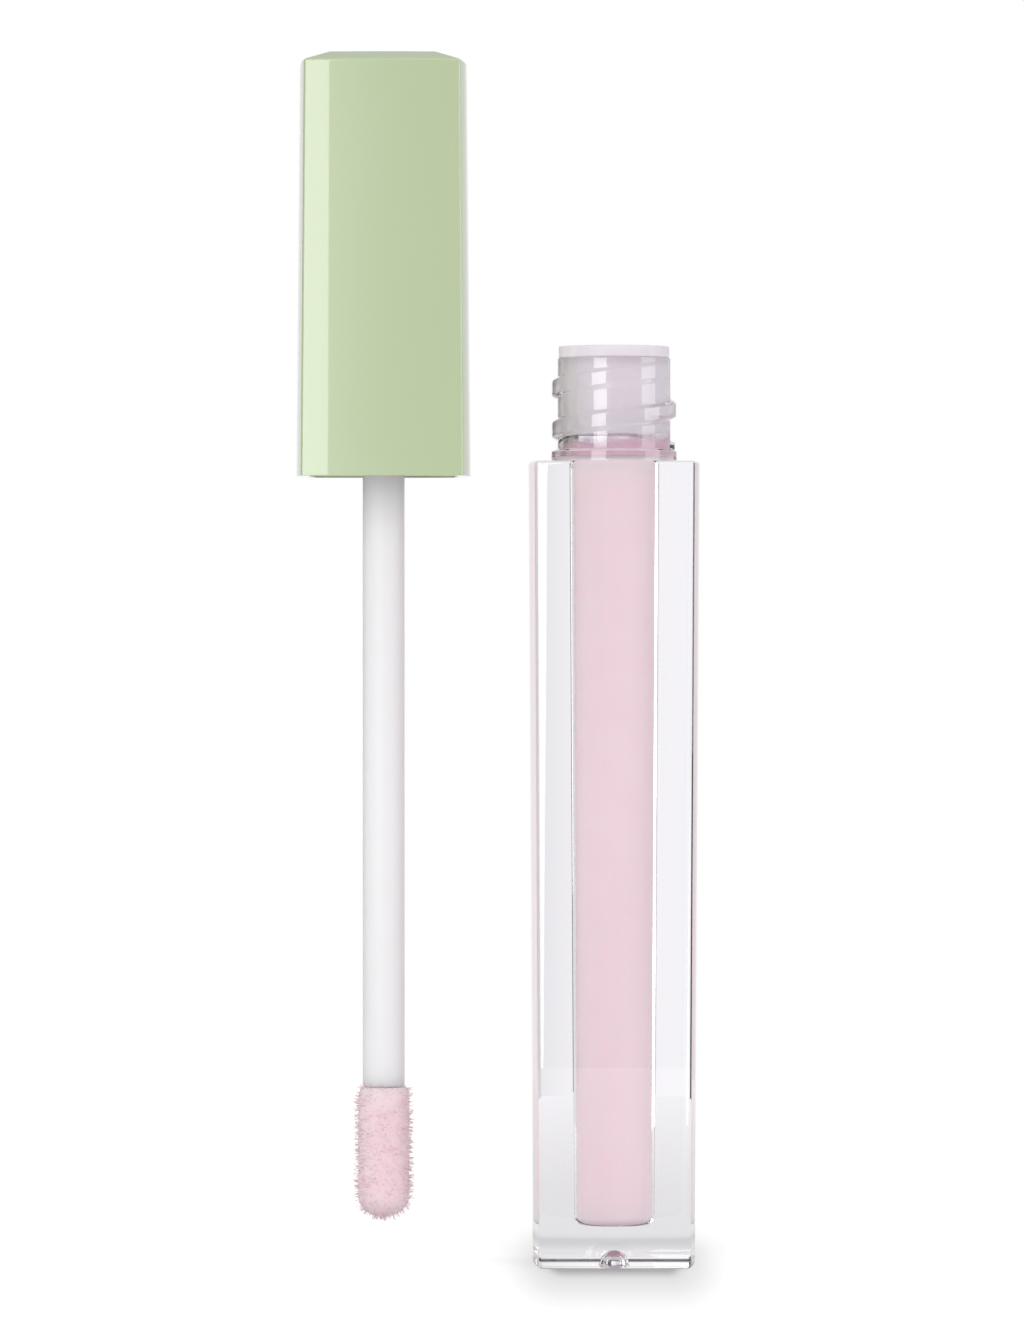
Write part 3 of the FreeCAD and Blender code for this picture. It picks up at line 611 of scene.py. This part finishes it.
# hairs on a coat: each a bent, tapered, three-sided tube that leans and turns by chance
def flockTree(size, material):
    tree = bpy.data.node_groups.new("flockHairs", "GeometryNodeTree")
    face = tree.interface
    face.new_socket("Coat", in_out="INPUT", socket_type="NodeSocketGeometry")
    for label in ("Hairs per square metre", "Hair length", "Length spread", "Lean", "Hair radius"):
        face.new_socket(label, in_out="INPUT", socket_type="NodeSocketFloat")
    face.new_socket("Seed", in_out="INPUT", socket_type="NodeSocketInt")
    face.new_socket("Flock", in_out="OUTPUT", socket_type="NodeSocketGeometry")
    given = addNode(tree, "NodeGroupInput").outputs
    scatter = addNode(tree, "GeometryNodeDistributePointsOnFaces", None,
                      {"Mesh": given["Coat"], "Density": given["Hairs per square metre"],
                       "Seed": given["Seed"]})
    hairLine = addNode(tree, "GeometryNodeCurvePrimitiveLine", {"End": (0, 0, 1)})
    joints = addNode(tree, "GeometryNodeResampleCurve", {"Count": 3},
                     {"Curve": hairLine.outputs[0]})
    along = addNode(tree, "GeometryNodeSplineParameter")
    square = addNode(tree, "ShaderNodeMath", None,
                     {0: along.outputs["Factor"], 1: along.outputs["Factor"]}, operation="MULTIPLY")
    sway = addNode(tree, "ShaderNodeMath", {1: size["sway"] * mm}, {0: square.outputs[0]},
                   operation="MULTIPLY")
    offset = addNode(tree, "ShaderNodeCombineXYZ", None, {"X": sway.outputs[0]})
    bent = addNode(tree, "GeometryNodeSetPosition", None,
                   {"Geometry": joints.outputs[0], "Offset": offset.outputs[0]})
    taper = addNode(tree, "ShaderNodeMapRange", {"To Min": 1.0, "To Max": 0.1},
                    {"Value": along.outputs["Factor"]})
    tapered = addNode(tree, "GeometryNodeSetCurveRadius", None,
                      {"Curve": bent.outputs[0], "Radius": taper.outputs[0]})
    section = addNode(tree, "GeometryNodeCurvePrimitiveCircle", {"Resolution": 3},
                      {"Radius": given["Hair radius"]})
    hair = addNode(tree, "GeometryNodeCurveToMesh", {"Fill Caps": False},
                   {"Curve": tapered.outputs[0], "Profile Curve": section.outputs[0]})
    tilt = addNode(tree, "FunctionNodeRandomValue", {0: (-1, -1, -1), 1: (1, 1, 1)},
                   {"Seed": given["Seed"]}, data_type="FLOAT_VECTOR")
    tilted = addNode(tree, "ShaderNodeVectorMath", None,
                     {0: tilt.outputs[0], "Scale": given["Lean"]}, operation="SCALE")
    way = addNode(tree, "ShaderNodeVectorMath", None,
                  {0: scatter.outputs["Normal"], 1: tilted.outputs[0]}, operation="ADD")
    aim = addNode(tree, "FunctionNodeAlignRotationToVector", None,
                  {"Vector": way.outputs[0]}, axis="Z")
    spin = addNode(tree, "FunctionNodeRandomValue", {"Min": 0.0, "Max": 6.283},
                   {"Seed": given["Seed"]}, data_type="FLOAT")  # a whole turn
    spinAxis = addNode(tree, "FunctionNodeAxisAngleToRotation", {"Axis": (0, 0, 1)},
                       {"Angle": spin.outputs[1]})
    turned = addNode(tree, "FunctionNodeRotateRotation", None,
                     {0: aim.outputs[0], 1: spinAxis.outputs[0]}, rotation_space="LOCAL")
    least = addNode(tree, "ShaderNodeMath", {0: 1.0}, {1: given["Length spread"]},
                    operation="SUBTRACT")
    most = addNode(tree, "ShaderNodeMath", {0: 1.0}, {1: given["Length spread"]}, operation="ADD")
    vary = addNode(tree, "FunctionNodeRandomValue", None,
                   {"Min": least.outputs[0], "Max": most.outputs[0], "Seed": given["Seed"]},
                   data_type="FLOAT")
    tall = addNode(tree, "ShaderNodeMath", None, {0: vary.outputs[1], 1: given["Hair length"]},
                   operation="MULTIPLY")
    scale = addNode(tree, "ShaderNodeCombineXYZ", {"X": 1.0, "Y": 1.0}, {"Z": tall.outputs[0]})
    planted = addNode(tree, "GeometryNodeInstanceOnPoints", None,
                      {"Points": scatter.outputs[0], "Instance": hair.outputs[0],
                       "Rotation": turned.outputs[0], "Scale": scale.outputs[0]})
    real = addNode(tree, "GeometryNodeRealizeInstances", None, {0: planted.outputs[0]})
    smooth = addNode(tree, "GeometryNodeSetShadeSmooth", None, {0: real.outputs[0]})
    painted = addNode(tree, "GeometryNodeSetMaterial", {"Material": material},
                      {0: smooth.outputs[0]})
    addNode(tree, "NodeGroupOutput", None, {0: painted.outputs[0]})
    return tree


flockX, flockY, flockFoot, flockTop = stand("flock_coat")
coatFoot, coatTop = flockFoot + flock["lift"], flockTop - flock["top"]
coatLine = [(flock["coat"] * sinDeg(a), coatFoot + flock["dome"] * (1 - cosDeg(a)))
            for a in np.linspace(0, 90, 14)[1:]]
coatLine += [(flock["coat"], z) for z in np.linspace(flockFoot + 2.6, coatTop - 1.5, 16)]
coatLine += [(flock["coat"] - inset, coatTop - drop) for inset, drop in flock["shoulder"]]
coatMesh = ringMesh("flockCoat", [pole(coatFoot)] + roundRings(coatLine) + [pole(coatTop)],
                    (flockX, flockY, 0))
coreFoot, coreTop = flockFoot + tip["foot"], coatTop - tip["under"]
coreLine = [(tip["footRadius"], coreFoot), (tip["radius"], flockFoot + tip["side"]),
            (tip["radius"], coreTop)]
coreMesh = ringMesh("tipCore", [pole(coreFoot)] + roundRings(coreLine) + [pole(coreTop)],
                    (flockX, flockY, 0))
# the core is a soft elastomer dyed like the flock, and lies wholly inside the coat
addPiece("tipCore", coreMesh, nylonFlock("dyedElastomer", "#d9b4bd", "#e2c0c8"), "cap",
         "core_rubber", "tip_core")
addPiece("flockCoat", coatMesh, nylonFlock("feltedFlock", "#f1d7dd", "#f9e6eb"), "cap",
         "flock_fibre", "flock_coat")
hairMaterial = nylonFlock("looseFlock", "#f8dbe3", "#fdeaf0", 0.3)
planter = bpy.data.objects.new("hairPlanter", coatMesh)
scene.collection.objects.link(planter)
grow = planter.modifiers.new("hairs", "NODES")
grow.node_group = flockTree(flock, hairMaterial)
hairValues = {"Hairs per square metre": flock["perSquareMm"] * 1e6,
              "Hair length": flock["length"] * mm, "Length spread": flock["spread"],
              "Lean": flock["lean"], "Hair radius": flock["thick"] * mm, "Seed": flock["seed"]}
for item in grow.node_group.interface.items_tree:
    if item.name in hairValues:
        grow[item.identifier] = hairValues[item.name]
bpy.context.view_layer.update()
grown = planter.evaluated_get(bpy.context.evaluated_depsgraph_get())
hairMesh = bpy.data.meshes.new_from_object(grown)
bpy.data.objects.remove(planter)
addPiece("flockHairs", hairMesh, hairMaterial, "cap", "flock_fibre")
print("flock made:", len(hairMesh.polygons), "faces in the hairs")

# The studio: a lens a little above the middle of the set, looking slightly down. Sizes in mm:
# viewTall is how much of the plane through the front of the set the lens sees.
studio = {"viewTall": 124.5089, "eyeX": -9.59, "eyeZ": 64.0, "aimZ": 56.2, "distance": 650.0,
          "plane": -3.7, "film": 36.0, "setMiddle": (-10, 0, 56)}
camera = bpy.data.objects.new("lens", bpy.data.cameras.new("lens"))
scene.collection.objects.link(camera)
scene.camera = camera
camera.data.sensor_width = studio["film"]
camera.data.lens = studio["film"] * studio["distance"] / studio["viewTall"]
camera.location = (studio["eyeX"] * mm, (studio["plane"] - studio["distance"]) * mm,
                   studio["eyeZ"] * mm)
dip = math.atan((studio["eyeZ"] - studio["aimZ"]) / studio["distance"])
camera.rotation_euler = (math.pi / 2 - dip, 0, 0)
camera.data.clip_start, camera.data.clip_end = 0.05, 20


# a soft box, seen in the shine but not by the lens; bearing and rise say where it stands round
# the set, in degrees, and wide and tall how much of the view it fills from there
def addSoftBox(name, bearing, rise, wide, tall, away, brightness):
    light = bpy.data.lights.new(name, "AREA")
    light.shape = "RECTANGLE"
    light.size = 2 * away * math.tan(math.radians(wide / 2))
    light.size_y = 2 * away * math.tan(math.radians(tall / 2))
    light.energy = brightness * light.size * light.size_y * math.pi
    box = bpy.data.objects.new(name, light)
    scene.collection.objects.link(box)
    out = Vector((sinDeg(bearing) * cosDeg(rise), -cosDeg(bearing) * cosDeg(rise), sinDeg(rise)))
    box.location = Vector(studio["setMiddle"]) * mm + out * away
    box.rotation_euler = out.to_track_quat("Z", "Y").to_euler()
    box.visible_camera = False


addSoftBox("keyBox", -28.8, 14, 27.5, 50, 1.2, 4.35)
addSoftBox("rightFill", 75, 20, 35, 45, 0.9, 2.5)

# the room as the shine and the clear plastic show it: a white screen behind the set, dark flags
# beside and over it, and a dim room in front
world = bpy.data.worlds.new("room")
scene.world = world
world.use_nodes = True
tree = world.node_tree
tree.nodes.clear()
way = addNode(tree, "ShaderNodeTexCoord")
split = addNode(tree, "ShaderNodeSeparateXYZ", None, {0: way.outputs["Generated"]})
bearing = addNode(tree, "ShaderNodeMath", None, {0: split.outputs["X"], 1: split.outputs["Y"]},
                  operation="ARCTAN2")  # 0 straight behind the set, positive to the right
share = addNode(tree, "ShaderNodeMapRange", {"From Min": -math.pi, "From Max": math.pi},
                {"Value": bearing.outputs[0]})


# a grey ramp from pairs of a value, by default an angle in degrees, and a brightness; it holds a
# share of each brightness, because a ramp clips at 1
rampShare = 1 / 4


def addRamp(source, stops, first=-180, last=180):
    made = addNode(tree, "ShaderNodeValToRGB", None, {0: source})
    elements = made.color_ramp.elements
    while len(elements) < len(stops):
        elements.new(0.5)
    for element, stop in zip(elements, stops):
        element.position = (stop[0] - first) / (last - first)
    for element, stop in zip(elements, stops):
        element.color = (*[stop[1] * rampShare] * 3, 1)
    return made


around = addRamp(share.outputs[0], [
    (-180, 0.4), (-138, 0.4), (-95, 0.15), (-60, 0.03), (-30, 0.02), (-22, 0.02),
    (-18, 1.0), (3, 0.98), (8, 0.92), (12, 0.78), (24, 0.65), (60, 0.9), (95, 0.6), (150, 0.3),
    (180, 0.4)])
# what the clear plastic shows is the same behind the set, but light all round it
beyond = addRamp(share.outputs[0], [
    (-180, 0.85), (-75, 0.85), (-60, 0.03), (-30, 0.02), (-22, 0.02),
    (-18, 1.0), (3, 0.98), (8, 0.92), (12, 0.78), (24, 0.65), (60, 0.9), (180, 0.85)])
rays = addNode(tree, "ShaderNodeLightPath")
seenAround = addNode(tree, "ShaderNodeMix", None, {0: rays.outputs["Is Transmission Ray"],
                     6: around.outputs[0], 7: beyond.outputs[0]}, data_type="RGBA")
height = addNode(tree, "ShaderNodeMath", None, {0: split.outputs["Z"]}, operation="ARCSINE")
tilt = addNode(tree, "ShaderNodeMapRange", {"From Min": -math.pi, "From Max": math.pi},
               {"Value": height.outputs[0]})
# the dark flag overhead and the ceiling above it take over from 16 degrees up
above = addRamp(tilt.outputs[0], [(-90, 0), (16, 0), (24, 4), (90, 4)])
over = addRamp(tilt.outputs[0], [(-90, 0.03), (25, 0.03), (29, 0.55), (90, 0.6)])
room = addNode(tree, "ShaderNodeMix", None,
               {0: above.outputs[0], 6: seenAround.outputs[2], 7: over.outputs[0]},
               data_type="RGBA")
bright = addNode(tree, "ShaderNodeMix", {0: 1.0, 7: (*[1 / rampShare] * 3, 1)},
                 {6: room.outputs[2]}, data_type="RGBA", blend_type="MULTIPLY")
# matt surfaces are lit by an even, overcast sky, and the lens itself sees plain white
high = addNode(tree, "ShaderNodeMath", {1: 0.0}, {0: split.outputs["Z"]}, operation="MAXIMUM")
overcast = addNode(tree, "ShaderNodeMath", {1: 0.5, 2: 0.22}, {0: high.outputs[0]},
                   operation="MULTIPLY_ADD")
soft = addNode(tree, "ShaderNodeMix", None,
               {0: rays.outputs["Is Diffuse Ray"], 6: bright.outputs[2], 7: overcast.outputs[0]},
               data_type="RGBA")
seen = addNode(tree, "ShaderNodeMix", {7: (1, 1, 1, 1)},
               {0: rays.outputs["Is Camera Ray"], 6: soft.outputs[2]}, data_type="RGBA")
back = addNode(tree, "ShaderNodeBackground", None, {"Color": seen.outputs[2]})
addNode(tree, "ShaderNodeOutputWorld", None, {0: back.outputs[0]})

# the floor: a round white board; near the bottle its glow holds a painted soft shadow, over the
# real shade of its matt paint, and it pales outwards; shadow is the painted shadow's oval reach
# across and along, straight the half width of its flat middle; its sizes are in metres
board = {"radius": 0.24, "points": 96, "below": 0.0002, "straight": (0.0048, 0, 0),
         "shadow": (0.00776, 0.06)}
floorMesh = bpy.data.meshes.new("floor")
rim = [(board["radius"] * math.cos(t), board["radius"] * math.sin(t), 0)
       for t in np.linspace(0, 2 * math.pi, board["points"] + 1)[:-1]]
floorMesh.from_pydata(rim, [], [tuple(range(board["points"]))])
floor = bpy.data.objects.new("floor", floorMesh)
scene.collection.objects.link(floor)
floor.location.z = cadLow.z - board["below"]
material, tree, out = newMaterial("whiteBoard")
place = addNode(tree, "ShaderNodeTexCoord")
side = addNode(tree, "ShaderNodeVectorMath", None, {0: place.outputs["Object"]},
               operation="ABSOLUTE")
past = addNode(tree, "ShaderNodeVectorMath", {1: board["straight"]}, {0: side.outputs[0]},
               operation="SUBTRACT")
outside = addNode(tree, "ShaderNodeVectorMath", {1: (0, 0, 0)}, {0: past.outputs[0]},
                  operation="MAXIMUM")
oval = addNode(tree, "ShaderNodeMapping",
               {"Scale": (1 / board["shadow"][0], 1 / board["shadow"][1], 1)},
               {"Vector": outside.outputs[0]})
reach = addNode(tree, "ShaderNodeVectorMath", None, {0: oval.outputs[0]}, operation="LENGTH")
# what the lens sees: a painted shadow, as shares of the oval's reach, dark under the bottle's edge
paintedShadow = addRamp(reach.outputs["Value"], [
    (0.12, 0.1), (0.2, 0.33), (0.24, 0.4), (0.32, 0.445), (0.42, 0.484), (0.51, 0.54),
    (0.7, 0.635), (0.9, 0.69), (1.0, 0.75)], 0, 1)
# what the clear plastic and the shine show, by distance from the middle in metres: a painted
# shadow, black under the bottle and dimmer again in a ring round it, paler outwards
away = addNode(tree, "ShaderNodeVectorMath", None, {0: place.outputs["Object"]},
               operation="LENGTH")
through = addRamp(away.outputs["Value"], [
    (0.0085, 0), (0.012, 0.5), (0.0185, 0.48), (0.03, 0.26), (0.036, 0.45), (0.09, 0.46),
    (0.24, 0.62)], 0, 1)
paint = addNode(tree, "ShaderNodeBsdfDiffuse", {"Color": linear("#b0b0b0")})
rays = addNode(tree, "ShaderNodeLightPath")
lit = addNode(tree, "ShaderNodeMath", None, {0: rays.outputs["Is Transmission Ray"],
              1: rays.outputs["Is Glossy Ray"]}, operation="MAXIMUM")
# matt surfaces get a little over half of that light
bounced = addNode(tree, "ShaderNodeMath", {1: 0.6}, {0: rays.outputs["Is Diffuse Ray"],
                  2: lit.outputs[0]}, operation="MULTIPLY_ADD")
bent = addNode(tree, "ShaderNodeMath", None, {0: bounced.outputs[0], 1: through.outputs[0]},
               operation="MULTIPLY")
# the painted shadows go into the board's own glow; the paint below takes the real light and shade
glow = addNode(tree, "ShaderNodeMix", None, {0: rays.outputs["Is Camera Ray"], 2: bent.outputs[0],
               3: paintedShadow.outputs[0]}, data_type="FLOAT")
full = addNode(tree, "ShaderNodeMath", {1: 1 / rampShare}, {0: glow.outputs[0]},
               operation="MULTIPLY")
shine = addNode(tree, "ShaderNodeEmission", None, {"Strength": full.outputs[0]})
both = addNode(tree, "ShaderNodeAddShader", None, {0: paint.outputs[0], 1: shine.outputs[0]})
face = addNode(tree, "ShaderNodeNewGeometry")
passing = addNode(tree, "ShaderNodeBsdfTransparent")  # from below the board doesn't hide the set
either = addNode(tree, "ShaderNodeMixShader", None, {0: face.outputs["Backfacing"],
                 1: both.outputs[0], 2: passing.outputs[0]})
tree.links.new(either.outputs[0], out.inputs["Surface"])
floorMesh.materials.append(material)
print("studio lit")
